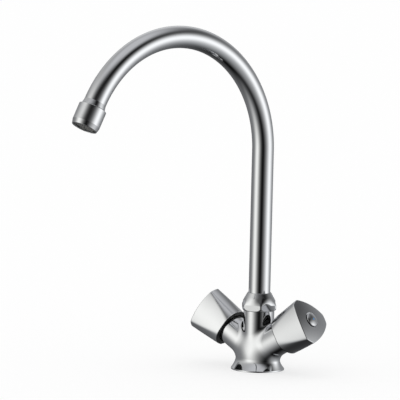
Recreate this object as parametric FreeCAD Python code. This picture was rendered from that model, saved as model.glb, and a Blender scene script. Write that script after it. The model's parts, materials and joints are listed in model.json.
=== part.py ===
import FreeCAD, Part
import math
import os
from FreeCAD import Placement, Rotation, Vector

# Two-handle kitchen mixer tap: a cast brass body with a flared foot, a riser and two
# raised arms, a swivelling gooseneck spout held by a union nut, and on each arm a
# ceramic-disc headwork under a three-sided handle.  All lengths are millimetres.
#
# Frame: the foot stands on z = 0 around the Z axis.  The two arms lie in the XZ plane,
# cold on +X and hot on -X, and the front of the tap faces -Y.

# ---------------------------------------------------------------- driving dimensions
# clearances
RUN = 0.05            # radial play of a running fit
SEAT = 0.02           # play between two pieces that are screwed or pressed together
SHOW_GAP = 0.3        # visible gap between pieces that turn past each other
OVERRUN = 1.0         # how far a cutting shape reaches past the surface it opens

# foot and riser of the casting
FOOT_R = 24.5         # rim of the foot
FOOT_EDGE = 1.2       # upright edge under the flare
WAIST_R = 20.2        # narrowest place of the foot
WAIST_Z = 10.5
RISER_R = 14.2        # plain cylinder under the nut
RISER_Z = 36.0        # height where the neck has become that cylinder
NECK_EASE = 0.42      # share of the neck's height that holds each end upright
RISER_TOP = 54.6      # shoulder under the nut

# swivel joint of the spout
NECK_THREAD_R = 13.2  # G 3/4 thread that carries the nut
NECK_TOP = 61.9       # top face of the threaded neck
SOCKET_R = 9.3        # bore that the spout's tail turns in
SOCKET_FLOOR = 30.0
RING_T = 1.0          # thickness of each slip ring
COLLAR_R = 12.3       # collar of the tail, clamped between the slip rings
COLLAR_T = 2.0
TAIL_END = 42.0       # lower end of the tail
TAIL_BORE_R = 5.5
TAIL_SPIGOT = 8.0     # length of the tail inside the tube
O_RING_WIRE = 1.3     # radius of the tail's seals
O_RING_Z = (47.0, 55.0)

# union nut
NUT_R = 17.0          # turned over the corners
NUT_FLATS = 30.0      # width across the six flats
NUT_FOOT_R = 14.5     # lower edge
NUT_TOP_R = 10.9      # upper edge, close round the tube
NUT_Z = 54.8
NUT_TOP = 71.2
NUT_LAND_Z = 57.4     # from here the nut is cylindrical
NUT_CONE_Z = 60.1     # up to here, and then conical
NUT_ROUNDING = 0.6    # how far the lower edge bulges towards the sharp corner, 0.5 is straight
NUT_TURN = 12.4       # degrees from the front to the first flat

# gooseneck
TUBE_R = 10.0
TUBE_WALL = 1.0
BEND_Z = 202.7        # height of the bend's centre
BEND_R = 105.9        # radius of the bend, to the tube's centre line
BEND_SWEEP = 151.8    # degrees
SPOUT_TURN = -11.7    # degrees from the front at rest

# spout end and aerator, along the outlet axis from the end of the tube
END_SPIGOT = 3.0
FLARE_L = 4.4
FLARE_R = 10.9
HOUSING_GAP = 0.6     # groove between flare and housing
OUTLET_THREAD_R = 10.95
OUTLET_THREAD_L = 7.0
OUTLET_BORE_R = 7.8
HOUSING_R = 12.7
HOUSING_L = 19.7
HOUSING_CHAMFER = 0.5
HOUSING_BEVEL = 4.2   # length of the bevel at the open end
HOUSING_END_R = 11.65
HOUSING_LIP_R = 10.6  # opening of the lip that holds the insert
HOUSING_LIP = 1.6
WASHER_T = 1.5
CARTRIDGE_WALL = 1.1
CARTRIDGE_PLATE = 1.4
JET_R = 1.0
JET_RING_R = 6.6
JET_COUNT = 12
SCREEN_T = 0.7
SCREEN_PITCH = 1.7
SCREEN_WIRE = 0.55

# arms: their axes meet on the Z axis
ARM_RISE = 30.6       # degrees above the horizontal
ARM_Z = 16.3          # height where the axes meet
ARM_R = 14.3
ARM_END = 39.5        # all places along an arm are distances from the Z axis
ARM_FILLET = 4.0      # cast blend where an arm leaves the body

# waterways of the casting
INLET_X = 8.0         # the two M10 x 1 inlets stand side by side under the foot
INLET_R = 5.0
INLET_DEPTH = 12.0
DRILL_R = 3.2
VALVE_SEAT = 15.0     # floor of the headwork's chamber
CHAMBER_R = 9.4
CHAMBER_END = 28.0    # from here the chamber is threaded
PORT_AT = 18.5        # drilling from the chamber to the spout's socket
STUD_Y = 10.5         # M8 hole for the fixing stud, behind the inlets
STUD_R = 4.0
STUD_DEPTH = 14.0

# base seal
SEAL_GROOVE_IN = 17.0
SEAL_GROOVE_OUT = 22.0
SEAL_DEPTH = 2.0

# ceramic-disc headwork
HEAD_THREAD_R = 10.4  # G 1/2
HEAD_BODY_R = 9.1
HEAD_CUP_R = 7.8      # room for the discs
HEAD_HEX = 22.0       # across the flats
HEAD_HEX_T = 4.2
HEAD_NECK_R = 7.0
HEAD_NECK_T = 2.2
GASKET_T = 0.8
SEAT_SEAL_T = 2.2
SEAT_SEAL_BORE = 6.2
DISC_R = 7.6
DISC_T = 3.0
DISC_PORT_R = 5.8     # the fixed disc has a half-moon port, the turning one is a half disc
DISC_PORT_EDGE = 0.8
DISC_EAR = 1.6        # ears that key the fixed disc in the bonnet
DRIVE_W = 3.0         # tongue of the spindle and its slot across the turning disc
DRIVE_T = 1.2
FRICTION_T = 0.8
SPINDLE_PLATE_T = 2.4
SPINDLE_PLATE_R = 7.3
SPINDLE_R = 4.5
SPINDLE_SEAL_WIRE = 0.9
SPINDLE_SEALS = (33.0, 37.0)
CIRCLIP_T = 0.8
CIRCLIP_R = 6.0
CIRCLIP_GROOVE_R = 3.0
SPINDLE_STEP = 1.0    # plain length above the circlip, before the spline
SPLINE_R = 4.0
SPLINE_TEETH = 20
SPLINE_DEPTH = 0.45
SPLINE_TOP = 58.0
SCREW_TAP_R = 2.0     # M4
SCREW_TAP_DEPTH = 11.0
SCREW_SPARE = 1.0     # tapped length left below the screw

# handles
MOUTH = 36.6          # open end of the handle
FACE = 67.7           # plane through the three corners of the face
MOUTH_R = 18.7
CORNER_R = 22.9       # the round corners lie on this flaring cone
SIDE_R = 65.3         # each side is slightly bulged
SIDE_MID = 17.5       # distance from the axis to the middle of a side
FACE_CROWN = 2.4      # rise of the domed face
HANDLE_EDGE = 0.7     # rounding of the handle's edges
HANDLE_WALL = 1.3
HANDLE_ROOF = 3.4     # thickness under the corners of the face
HANDLE_BOSS_R = 9.4
SCREW_SEAT = 61.0
SCREW_SEAT_T = 2.2
HANDLE_TURN = {"cold": -2.5, "hot": 73.5}  # degrees to a corner, from the level direction
INSERT_RECESS = 0.4
INSERT_WEB_T = 2.5
INSERT_HUB_R = 7.5
BUTTON_HOLE_R = 7.4
BUTTON_R = 6.6
BUTTON_RISE = 2.4     # height of the button above the face
BUTTON_DROP = 0.8     # its edge lies this far below the face
BUTTON_LIP_T = 1.2
BUTTON_ROOM = 0.8     # between the screw's head and the button
DOT_R = 1.0
DOT_T = 0.5
SCREW_HEAD_R = 3.6
SCREW_HEAD_T = 2.4
SCREW_CROSS_L = 4.6
SCREW_CROSS_W = 1.0
SCREW_CROSS_DEPTH = 1.3

ARM_TURN = {"cold": 0.0, "hot": 180.0}  # degrees about Z from the cold arm


# --------------------------------------------------------------------------- helpers
def point(r, z):
    """A point of a turned profile."""
    return Vector(r, 0, z)


def turned(points):
    """A solid turned about Z from the corners (r, z) of its profile."""
    corners = [point(r, z) for r, z in points]
    face = Part.Face(Part.makePolygon(corners + corners[:1]))
    return face.revolve(Vector(0, 0, 0), Vector(0, 0, 1), 360)


def turned_edges(edges):
    """A solid turned about Z from the edges of its profile."""
    face = Part.Face(Part.Wire(edges))
    return face.revolve(Vector(0, 0, 0), Vector(0, 0, 1), 360)


def line(p, q):
    return Part.LineSegment(p, q).toShape()


def rod(r, low, high):
    return Part.makeCylinder(r, high - low, Vector(0, 0, low))


def ring(r_out, r_in, low, high):
    return rod(r_out, low, high).cut(rod(r_in, low, high))


def bar(length, width, low, high):
    """A box centred on Z."""
    return Part.makeBox(length, width, high - low, Vector(-length / 2, -width / 2, low))


def half_space(edge, low, high):
    """Everything up to x = edge, as far out as a headwork reaches."""
    return Part.makeBox(2 * ARM_R, 4 * ARM_R, high - low, Vector(edge - 2 * ARM_R, -2 * ARM_R, low))


def o_ring(r_inside, wire, z):
    """A seal of round section."""
    return Part.makeTorus(r_inside + wire, wire, Vector(0, 0, z))


def hexagon(across, low, high, turn=0.0):
    """A six-sided prism whose first flat faces `turn` degrees from X."""
    r = across / 2 / math.cos(math.radians(30))
    angles = [math.radians(turn + 30 + 60 * i) for i in range(7)]
    corners = [Vector(r * math.cos(a), r * math.sin(a), low) for a in angles]
    return Part.Face(Part.makePolygon(corners)).extrude(Vector(0, 0, high - low))


def polar_copies(shape, count):
    """Copies of a shape, evenly spaced about Z."""
    copies = []
    for i in range(count):
        copy = shape.copy()
        copy.rotate(Vector(0, 0, 0), Vector(0, 0, 1), 360.0 * i / count)
        copies.append(copy)
    return copies


def on_arm(shape, side):
    """Places a shape whose Z is an arm's axis, and whose X is the level direction
    behind that axis, on the cold arm or, half a turn round, on the hot one."""
    rise = math.radians(ARM_RISE)
    along = Vector(math.cos(rise), 0, math.sin(rise))
    level = Vector(0, 1, 0)
    tilt = Placement(Vector(0, 0, ARM_Z), Rotation(level, Vector(), along, "ZXY"))
    half_turn = Placement(Vector(0, 0, 0), Rotation(Vector(0, 0, 1), ARM_TURN[side]))
    placed = shape.copy()
    placed.Placement = half_turn.multiply(tilt).multiply(shape.Placement)
    return placed


def on_outlet(shape):
    """Places a shape whose Z is the outlet axis at the end of the tube."""
    sweep = math.radians(BEND_SWEEP)
    end = Vector(0, BEND_R * (math.cos(sweep) - 1), BEND_Z + BEND_R * math.sin(sweep))
    tilt = Placement(end, Rotation(Vector(1, 0, 0), BEND_SWEEP))
    placed = shape.copy()
    placed.Placement = spout_turn().multiply(tilt).multiply(shape.Placement)
    return placed


def spout_turn():
    return Placement(Vector(0, 0, 0), Rotation(Vector(0, 0, 1), SPOUT_TURN))


def on_spout(shape):
    """Turns a piece of the spout with it."""
    placed = shape.copy()
    placed.Placement = spout_turn().multiply(shape.Placement)
    return placed


# ------------------------------------------------------------------ places along axes
HEAD_BOTTOM = VALVE_SEAT + SEAT_SEAL_T
DISC_1 = HEAD_BOTTOM
DISC_2 = DISC_1 + DISC_T + SEAT
PLATE = DISC_2 + DISC_T
FRICTION = PLATE + SPINDLE_PLATE_T
CUP_END = FRICTION + FRICTION_T + RUN
FLANGE = ARM_END + GASKET_T
HEX_TOP = FLANGE + HEAD_HEX_T
HEAD_TOP = HEX_TOP + HEAD_NECK_T
CIRCLIP = HEAD_TOP + RUN
SPLINE = CIRCLIP + CIRCLIP_T + SPINDLE_STEP
INSERT_WEB = SPLINE + SHOW_GAP

RING_1 = NECK_TOP
COLLAR = RING_1 + RING_T
RING_2 = COLLAR + COLLAR_T
NUT_SHOULDER = RING_2 + RING_T
TUBE_START = RING_2

HOUSING = FLARE_L + HOUSING_GAP
OUTLET_END = HOUSING + OUTLET_THREAD_L
CARTRIDGE = OUTLET_END + WASHER_T
HOUSING_END = HOUSING + HOUSING_L
SCREEN = HOUSING_END - HOUSING_LIP - SCREEN_T
FACE_TOP = FACE + FACE_CROWN
FACE_BALL_R = (CORNER_R ** 2 + FACE_CROWN ** 2) / (2 * FACE_CROWN)
BUTTON_BASE = SCREW_SEAT + SCREW_SEAT_T + SCREW_HEAD_T + BUTTON_ROOM


# ------------------------------------------------------------------- casting and foot
def casting_profile():
    """Outline of foot, waist, neck and riser, from the axis round to the axis."""
    flare_from = point(FOOT_R, FOOT_EDGE)
    waist = point(WAIST_R, WAIST_Z)
    riser = point(RISER_R, RISER_Z)
    # the flare is an arc that stands upright at the waist
    out = FOOT_R - WAIST_R
    up = WAIST_Z - FOOT_EDGE
    radius = (out * out + up * up) / (2 * out)
    half = math.atan2(out, up)
    middle = point(WAIST_R + radius - radius * math.cos(half), WAIST_Z - radius * math.sin(half))
    flare = Part.Arc(flare_from, middle, waist).toShape()
    # the neck is upright at both ends
    lift = (RISER_Z - WAIST_Z) * NECK_EASE
    neck = Part.BezierCurve()
    neck.setPoles([waist, point(WAIST_R, WAIST_Z + lift), point(RISER_R, RISER_Z - lift), riser])
    return [
        line(point(0, 0), point(FOOT_R, 0)),
        line(point(FOOT_R, 0), flare_from),
        flare,
        neck.toShape(),
        line(riser, point(RISER_R, RISER_TOP)),
        line(point(RISER_R, RISER_TOP), point(NECK_THREAD_R, RISER_TOP)),
        line(point(NECK_THREAD_R, RISER_TOP), point(NECK_THREAD_R, NECK_TOP)),
        line(point(NECK_THREAD_R, NECK_TOP), point(0, NECK_TOP)),
        line(point(0, NECK_TOP), point(0, 0)),
    ]


def arm_distance(p, side):
    """How far a point lies from an arm's axis."""
    rise = math.radians(ARM_RISE)
    along = Vector(math.cos(rise), 0, math.sin(rise))
    if side == "hot":
        along.x = -along.x
    offset = p.sub(Vector(0, 0, ARM_Z))
    return offset.cross(along).Length


def is_arm_root(edge):
    """Whether an edge is where an arm leaves the rest of the casting."""
    first, last = edge.ParameterRange
    samples = [edge.valueAt(first + (last - first) * i / 4.0) for i in range(5)]
    for side in ARM_TURN:
        on_surface = all(abs(arm_distance(p, side) - ARM_R) < 0.01 for p in samples)
        inside_end = all(p.sub(Vector(0, 0, ARM_Z)).Length < ARM_END - OVERRUN for p in samples)
        if on_surface and inside_end:
            return not edge.Curve.TypeId.endswith("GeomLine")
    return False


def casting_outside():
    """Foot, neck and riser with the two arms, blended where they meet."""
    shape = turned_edges(casting_profile())
    # the seam of the turned surface lies at the back, away from the arms
    shape.rotate(Vector(0, 0, 0), Vector(0, 0, 1), 90)
    for side in ARM_TURN:
        shape = shape.fuse(on_arm(rod(ARM_R, 0.0, ARM_END), side))
    roots = [edge for edge in shape.Edges if is_arm_root(edge)]
    return shape.makeFillet(ARM_FILLET, roots)


def waterway(side):
    """Inlet, drillings, valve chamber and port of one arm, as one cutting shape."""
    x = INLET_X if side == "cold" else -INLET_X
    rise = math.radians(ARM_RISE)
    # the slanting drilling crosses the upright one above the inlet
    crossing = INLET_X / math.cos(rise)
    crossing_z = ARM_Z + crossing * math.sin(rise)
    inlet = Part.makeCylinder(INLET_R, INLET_DEPTH, Vector(x, 0, 0))
    upright = Part.makeCylinder(DRILL_R, crossing_z, Vector(x, 0, 0))
    along_arm = [
        rod(DRILL_R, crossing, VALVE_SEAT),
        rod(CHAMBER_R, VALVE_SEAT, CHAMBER_END),
        rod(HEAD_THREAD_R + SEAT, CHAMBER_END, ARM_END),
    ]
    port = Part.makeCylinder(DRILL_R, CHAMBER_R + DRILL_R, Vector(0, 0, PORT_AT), Vector(0, 1, 0))
    shape = inlet.fuse(upright)
    for piece in along_arm:
        shape = shape.fuse(on_arm(piece, side))
    return shape.fuse(on_arm(port, side))


def body():
    """The chrome-plated brass casting."""
    shape = casting_outside()
    for side in ARM_TURN:
        shape = shape.cut(waterway(side))
    shape = shape.cut(rod(SOCKET_R, SOCKET_FLOOR, NECK_TOP))
    shape = shape.cut(Part.makeCylinder(STUD_R, STUD_DEPTH, Vector(0, STUD_Y, 0)))
    return shape.cut(ring(SEAL_GROOVE_OUT, SEAL_GROOVE_IN, 0.0, SEAL_DEPTH))


def base_seal():
    """The rubber ring that seals the foot on the worktop."""
    return ring(SEAL_GROOVE_OUT - SEAT, SEAL_GROOVE_IN + SEAT, 0.0, SEAL_DEPTH - SEAT)


# ---------------------------------------------------------------------- swivel joint
def spout_nut():
    """Union nut: turned to a rounded cone, with six flats that show as lenses."""
    land_low = point(NUT_R, NUT_LAND_Z)
    land_high = point(NUT_R, NUT_CONE_Z)
    foot = point(NUT_FOOT_R, NUT_Z)
    out = (NUT_R - NUT_FOOT_R) * NUT_ROUNDING
    up = (NUT_LAND_Z - NUT_Z) * (1.0 - NUT_ROUNDING)
    round_off = point(NUT_FOOT_R + out, NUT_Z + up)
    profile = [
        Part.Arc(foot, round_off, land_low).toShape(),
        line(land_low, land_high),
    ]
    inside = [
        land_high,
        point(NUT_TOP_R, NUT_TOP),
        point(TUBE_R + SHOW_GAP, NUT_TOP),
        point(TUBE_R + SHOW_GAP, NUT_SHOULDER),
        point(COLLAR_R + RUN, NUT_SHOULDER),
        point(COLLAR_R + RUN, RING_1),
        point(NECK_THREAD_R + SEAT, RING_1),
        point(NECK_THREAD_R + SEAT, NUT_Z),
        foot,
    ]
    profile += [line(p, q) for p, q in zip(inside, inside[1:])]
    shape = turned_edges(profile)
    return shape.common(hexagon(NUT_FLATS, NUT_Z, NUT_TOP, NUT_TURN - 90))


def lower_slip_ring():
    return ring(COLLAR_R - RUN, SOCKET_R, RING_1, COLLAR - SEAT)


def upper_slip_ring():
    return ring(COLLAR_R - RUN, TUBE_R + RUN, RING_2, NUT_SHOULDER - SEAT)


def spout_tail():
    """Turned brass foot of the spout: a plug with two seal grooves, a collar that the
    nut holds down, and a spigot brazed into the tube."""
    plug_r = SOCKET_R - RUN
    spigot_r = TUBE_R - TUBE_WALL - SEAT
    shape = rod(plug_r, TAIL_END, COLLAR)
    shape = shape.fuse(rod(COLLAR_R - RUN, COLLAR, RING_2))
    shape = shape.fuse(rod(spigot_r, RING_2, RING_2 + TAIL_SPIGOT))
    for z in O_RING_Z:
        groove_half = O_RING_WIRE + SEAT
        groove = ring(SOCKET_R + OVERRUN, plug_r - 2 * O_RING_WIRE, z - groove_half, z + groove_half)
        shape = shape.cut(groove)
    return shape.cut(rod(TAIL_BORE_R, TAIL_END, RING_2 + TAIL_SPIGOT))


def spout_o_rings():
    """The two seals of the tail."""
    inside = SOCKET_R - RUN - 2 * O_RING_WIRE
    return Part.makeCompound([o_ring(inside, O_RING_WIRE - SEAT, z) for z in O_RING_Z])


# ------------------------------------------------------------------- gooseneck spout
def spout_tube():
    """Drawn tube, bent in one arc from the riser over to the outlet."""
    wall = Part.Face(Part.Wire(Part.makeCircle(TUBE_R, Vector(0, 0, TUBE_START))))
    bore = Part.Face(Part.Wire(Part.makeCircle(TUBE_R - TUBE_WALL, Vector(0, 0, TUBE_START))))
    section = wall.cut(bore)
    upright = section.extrude(Vector(0, 0, BEND_Z - TUBE_START))
    section.translate(Vector(0, 0, BEND_Z - TUBE_START))
    bend = section.revolve(Vector(0, -BEND_R, BEND_Z), Vector(1, 0, 0), BEND_SWEEP)
    return upright.fuse(bend).removeSplitter()


def spout_end_fitting():
    """Brazed end of the spout: a short flare, and the M22 x 1 thread of the aerator."""
    spigot_r = TUBE_R - TUBE_WALL - 2 * RUN
    groove_r = FLARE_R - HOUSING_GAP
    return turned([
        (OUTLET_BORE_R, -END_SPIGOT),
        (spigot_r, -END_SPIGOT),
        (spigot_r, 0),
        (TUBE_R, 0),
        (FLARE_R, FLARE_L),
        (groove_r, FLARE_L),
        (groove_r, HOUSING),
        (OUTLET_THREAD_R, HOUSING),
        (OUTLET_THREAD_R, OUTLET_END),
        (OUTLET_BORE_R, OUTLET_END),
    ])


def aerator_housing():
    """Chrome-plated sleeve with a bevelled open end."""
    return turned([
        (OUTLET_THREAD_R + SEAT, HOUSING),
        (HOUSING_R - HOUSING_CHAMFER, HOUSING),
        (HOUSING_R, HOUSING + HOUSING_CHAMFER),
        (HOUSING_R, HOUSING_END - HOUSING_BEVEL),
        (HOUSING_END_R, HOUSING_END),
        (HOUSING_LIP_R, HOUSING_END),
        (HOUSING_LIP_R, HOUSING_END - HOUSING_LIP),
        (OUTLET_THREAD_R + SEAT, HOUSING_END - HOUSING_LIP),
    ])


def aerator_washer():
    return ring(OUTLET_THREAD_R - SEAT, OUTLET_BORE_R, OUTLET_END, CARTRIDGE - SEAT)


def aerator_cartridge():
    """Plastic cup whose plate breaks the water into jets, with air slots below it."""
    r = OUTLET_THREAD_R - SEAT
    shape = rod(r, CARTRIDGE, SCREEN - SEAT)
    shape = shape.cut(rod(r - CARTRIDGE_WALL, CARTRIDGE + CARTRIDGE_PLATE, SCREEN))
    jet = Part.makeCylinder(JET_R, CARTRIDGE_PLATE, Vector(JET_RING_R, 0, CARTRIDGE))
    for hole in polar_copies(jet, JET_COUNT):
        shape = shape.cut(hole)
    inner = Vector(r - CARTRIDGE_WALL - OVERRUN, -JET_R, CARTRIDGE + 2 * CARTRIDGE_PLATE)
    slot = Part.makeBox(CARTRIDGE_WALL + 2 * OVERRUN, 2 * JET_R, 2 * JET_R, inner)
    for hole in polar_copies(slot, JET_COUNT // 2):
        shape = shape.cut(hole)
    return shape


def aerator_screen():
    """Flat net across the outlet: one face with square gaps, made thick."""
    r = OUTLET_THREAD_R - SEAT
    gap = SCREEN_PITCH - SCREEN_WIRE
    reach = int(r / SCREEN_PITCH)
    outline = Part.Wire(Part.makeCircle(r, Vector(0, 0, SCREEN)))
    gaps = []
    for i in range(-reach, reach + 1):
        for j in range(-reach, reach + 1):
            corner = math.hypot(abs(i) + 0.5, abs(j) + 0.5) * SCREEN_PITCH
            if corner > HOUSING_LIP_R:
                continue
            x = i * SCREEN_PITCH - gap / 2
            y = j * SCREEN_PITCH - gap / 2
            corners = [(x, y), (x, y + gap), (x + gap, y + gap), (x + gap, y), (x, y)]
            gaps.append(Part.makePolygon([Vector(a, b, SCREEN) for a, b in corners]))
    net = Part.Face([outline] + gaps)
    return net.extrude(Vector(0, 0, SCREEN_T))


# -------------------------------------------------------------- headwork on each arm
def headwork():
    """Brass bonnet: a cup for the discs, thread, hexagon and a neck for the spindle."""
    shape = rod(HEAD_BODY_R, HEAD_BOTTOM, CHAMBER_END)
    shape = shape.fuse(rod(HEAD_THREAD_R, CHAMBER_END, FLANGE))
    shape = shape.fuse(hexagon(HEAD_HEX, FLANGE, HEX_TOP))
    shape = shape.fuse(rod(HEAD_NECK_R, HEX_TOP, HEAD_TOP))
    shape = shape.cut(rod(HEAD_CUP_R, HEAD_BOTTOM, CUP_END))
    shape = shape.cut(rod(SPINDLE_R + RUN, CUP_END, HEAD_TOP))
    # the water leaves through two windows beside the turning disc
    shape = shape.cut(bar(4 * HEAD_BODY_R, HEAD_CUP_R, DISC_2, DISC_2 + DISC_T))
    return shape.cut(bar(DISC_EAR + SEAT, 4 * HEAD_BODY_R, HEAD_BOTTOM, HEAD_BOTTOM + DISC_T))


def seat_seal():
    """Rubber seal between the casting's valve seat and the fixed disc."""
    return ring(DISC_R, SEAT_SEAL_BORE, VALVE_SEAT, HEAD_BOTTOM - SEAT)


def fixed_disc():
    """Ceramic disc with a half-moon port and two ears that key it in the bonnet."""
    shape = rod(DISC_R, DISC_1, DISC_1 + DISC_T)
    ears = bar(DISC_EAR, 2 * HEAD_BODY_R, DISC_1, DISC_1 + DISC_T)
    shape = shape.fuse(ears.common(rod(HEAD_BODY_R, DISC_1, DISC_1 + DISC_T)))
    port = rod(DISC_PORT_R, DISC_1, DISC_1 + DISC_T)
    return shape.cut(port.cut(half_space(DISC_PORT_EDGE, DISC_1, DISC_1 + DISC_T)))


def turning_disc():
    """Half disc that covers the port at rest and leaves it open half a turn round."""
    high = DISC_2 + DISC_T
    shape = rod(DISC_R, DISC_2, high).common(half_space(DISC_PORT_EDGE, DISC_2, high))
    shape = shape.cut(bar(4 * DISC_R, DRIVE_W + 2 * RUN, high - DRIVE_T, high))
    shape.rotate(Vector(0, 0, 0), Vector(0, 0, 1), 180)
    return shape


def head_gasket():
    return ring(ARM_R - SHOW_GAP, HEAD_THREAD_R + SEAT, ARM_END, FLANGE - SEAT)


def spindle():
    """Driving plate, sealed shaft, circlip groove, and a splined end with a tapped hole."""
    shape = rod(SPINDLE_PLATE_R, PLATE, FRICTION)
    tongue = bar(4 * SPINDLE_PLATE_R, DRIVE_W, PLATE - DRIVE_T + RUN, PLATE)
    shape = shape.fuse(tongue.common(rod(SPINDLE_PLATE_R, PLATE - DRIVE_T + RUN, PLATE)))
    shape = shape.fuse(rod(SPINDLE_R, FRICTION, SPLINE))
    for s in SPINDLE_SEALS:
        groove_r = SPINDLE_R - 2 * SPINDLE_SEAL_WIRE
        half = SPINDLE_SEAL_WIRE + SEAT
        shape = shape.cut(ring(SPINDLE_R + OVERRUN, groove_r, s - half, s + half))
    shape = shape.cut(ring(SPINDLE_R + OVERRUN, CIRCLIP_GROOVE_R, CIRCLIP, CIRCLIP + CIRCLIP_T))
    shape = shape.fuse(spline(SPLINE_R, SPLINE, SPLINE_TOP))
    return shape.cut(rod(SCREW_TAP_R, SPLINE_TOP - SCREW_TAP_DEPTH, SPLINE_TOP))


def spline(r, low, high):
    """A toothed shaft: every other corner of its outline lies on the root circle."""
    corners = []
    for i in range(2 * SPLINE_TEETH + 1):
        radius = r if i % 2 else r - SPLINE_DEPTH
        a = math.pi * i / SPLINE_TEETH
        corners.append(Vector(radius * math.cos(a), radius * math.sin(a), low))
    return Part.Face(Part.makePolygon(corners)).extrude(Vector(0, 0, high - low))


def spindle_o_rings():
    inside = SPINDLE_R - 2 * SPINDLE_SEAL_WIRE
    return Part.makeCompound([o_ring(inside, SPINDLE_SEAL_WIRE - SEAT, s) for s in SPINDLE_SEALS])


def spindle_circlip():
    """Open spring ring over the bonnet's neck."""
    shape = ring(CIRCLIP_R, CIRCLIP_GROOVE_R + SEAT, CIRCLIP + SEAT, CIRCLIP + CIRCLIP_T - SEAT)
    gap = Part.makeBox(2 * CIRCLIP_R, SPLINE_R, CIRCLIP_T, Vector(0, -SPLINE_R / 2, CIRCLIP))
    return shape.cut(gap)


def friction_washer():
    return ring(SPINDLE_PLATE_R, SPINDLE_R + RUN, FRICTION + SEAT, FRICTION + FRICTION_T)


# --------------------------------------------------------------------------- handles
def three_sided(inset, low, high):
    """A prism with three bulged sides, all `inset` inside the handle's outline."""
    centre_back = SIDE_R - SIDE_MID
    shape = None
    for i in range(3):
        away = math.radians(60 + 120 * i + 180)
        centre = Vector(centre_back * math.cos(away), centre_back * math.sin(away), low)
        side = Part.makeCylinder(SIDE_R - inset, high - low, centre)
        shape = side if shape is None else shape.common(side)
    return shape


def corner_cone(inset, low, high):
    """The flaring cone that the three round corners lie on."""
    slope = (CORNER_R - MOUTH_R) / (FACE - MOUTH)
    r_low = MOUTH_R - inset + slope * (low - MOUTH)
    r_high = MOUTH_R - inset + slope * (high - MOUTH)
    return Part.makeCone(r_low, r_high, high - low, Vector(0, 0, low))


def face_dome(low):
    """Everything under the domed face."""
    ball = Part.makeSphere(FACE_BALL_R, Vector(0, 0, FACE_TOP - FACE_BALL_R))
    return ball.common(rod(2 * CORNER_R, low, FACE_TOP))


def handle_outside():
    high = FACE_TOP + OVERRUN
    shape = corner_cone(0.0, MOUTH, high).common(three_sided(0.0, MOUTH, high))
    shape = shape.common(face_dome(MOUTH))
    return shape.makeFillet(HANDLE_EDGE, [e for e in shape.Edges if not is_mouth_edge(e)])


def is_mouth_edge(edge):
    return edge.BoundBox.ZMax < MOUTH + 0.01


def handle_cavity():
    """Room inside the handle, open at the mouth."""
    high = FACE - HANDLE_ROOF
    shape = corner_cone(HANDLE_WALL, MOUTH - OVERRUN, high)
    return shape.common(three_sided(HANDLE_WALL, MOUTH - OVERRUN, high))


def handle_shell():
    """Hollow three-sided handle with a boss for its screw and a hole for the button."""
    shape = handle_outside().cut(handle_cavity())
    boss = rod(HANDLE_BOSS_R, SCREW_SEAT, FACE - HANDLE_ROOF)
    shape = shape.fuse(boss)
    shape = shape.cut(rod(BUTTON_HOLE_R, SCREW_SEAT + SCREW_SEAT_T, FACE_TOP + OVERRUN))
    return shape.cut(rod(SCREW_TAP_R + RUN, SCREW_SEAT, SCREW_SEAT + SCREW_SEAT_T))


def handle_insert():
    """Black plastic lining of the mouth, with a splined hub for the spindle."""
    low = MOUTH + INSERT_RECESS
    shape = corner_cone(HANDLE_WALL + SEAT, low, INSERT_WEB + INSERT_WEB_T)
    shape = shape.common(three_sided(HANDLE_WALL + SEAT, low, INSERT_WEB + INSERT_WEB_T))
    shape = shape.cut(rod(ARM_R + SHOW_GAP, low, INSERT_WEB))
    shape = shape.fuse(rod(INSERT_HUB_R, INSERT_WEB, SCREW_SEAT - SEAT))
    shape = shape.cut(spline(SPLINE_R + SEAT, INSERT_WEB, SPLINE_TOP + SEAT))
    return shape.cut(rod(SCREW_TAP_R + RUN, SPLINE_TOP, SCREW_SEAT))


def handle_screw():
    """Cheese-head screw with a cross-shaped socket."""
    low = SCREW_SEAT + SCREW_SEAT_T
    top = low + SCREW_HEAD_T
    shape = rod(SCREW_TAP_R - SEAT, SPLINE_TOP - SCREW_TAP_DEPTH + SCREW_SPARE, low + SEAT)
    shape = shape.fuse(rod(SCREW_HEAD_R, low + SEAT, top))
    for length, width in ((SCREW_CROSS_L, SCREW_CROSS_W), (SCREW_CROSS_W, SCREW_CROSS_L)):
        shape = shape.cut(bar(length, width, top - SCREW_CROSS_DEPTH, top))
    return shape


def face_height(r):
    """Where the domed face lies at a distance from the handle's axis."""
    return FACE_TOP - FACE_BALL_R + math.sqrt(FACE_BALL_R ** 2 - r ** 2)


def button_profile():
    """Edge and top of the index button, and the radius of its dome."""
    edge = face_height(BUTTON_HOLE_R) - BUTTON_DROP
    top = face_height(BUTTON_HOLE_R) + BUTTON_RISE
    rise = top - edge
    return edge, top, (BUTTON_R ** 2 + rise ** 2) / (2 * rise)


def index_button():
    """Domed chrome cap, pressed into the hole of the face."""
    edge, top, ball = button_profile()
    dome = Part.makeSphere(ball, Vector(0, 0, top - ball))
    dome = dome.common(rod(BUTTON_R, edge - BUTTON_LIP_T, top))
    shape = dome.fuse(rod(BUTTON_HOLE_R - SEAT, BUTTON_BASE, edge - BUTTON_LIP_T))
    return shape.cut(rod(DOT_R, top - DOT_T, top + OVERRUN))


def index_dot():
    """Small coloured dot at the top of the button."""
    edge, top, ball = button_profile()
    dome = Part.makeSphere(ball, Vector(0, 0, top - ball))
    return dome.common(rod(DOT_R - SEAT, top - DOT_T, top + OVERRUN))


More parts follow.
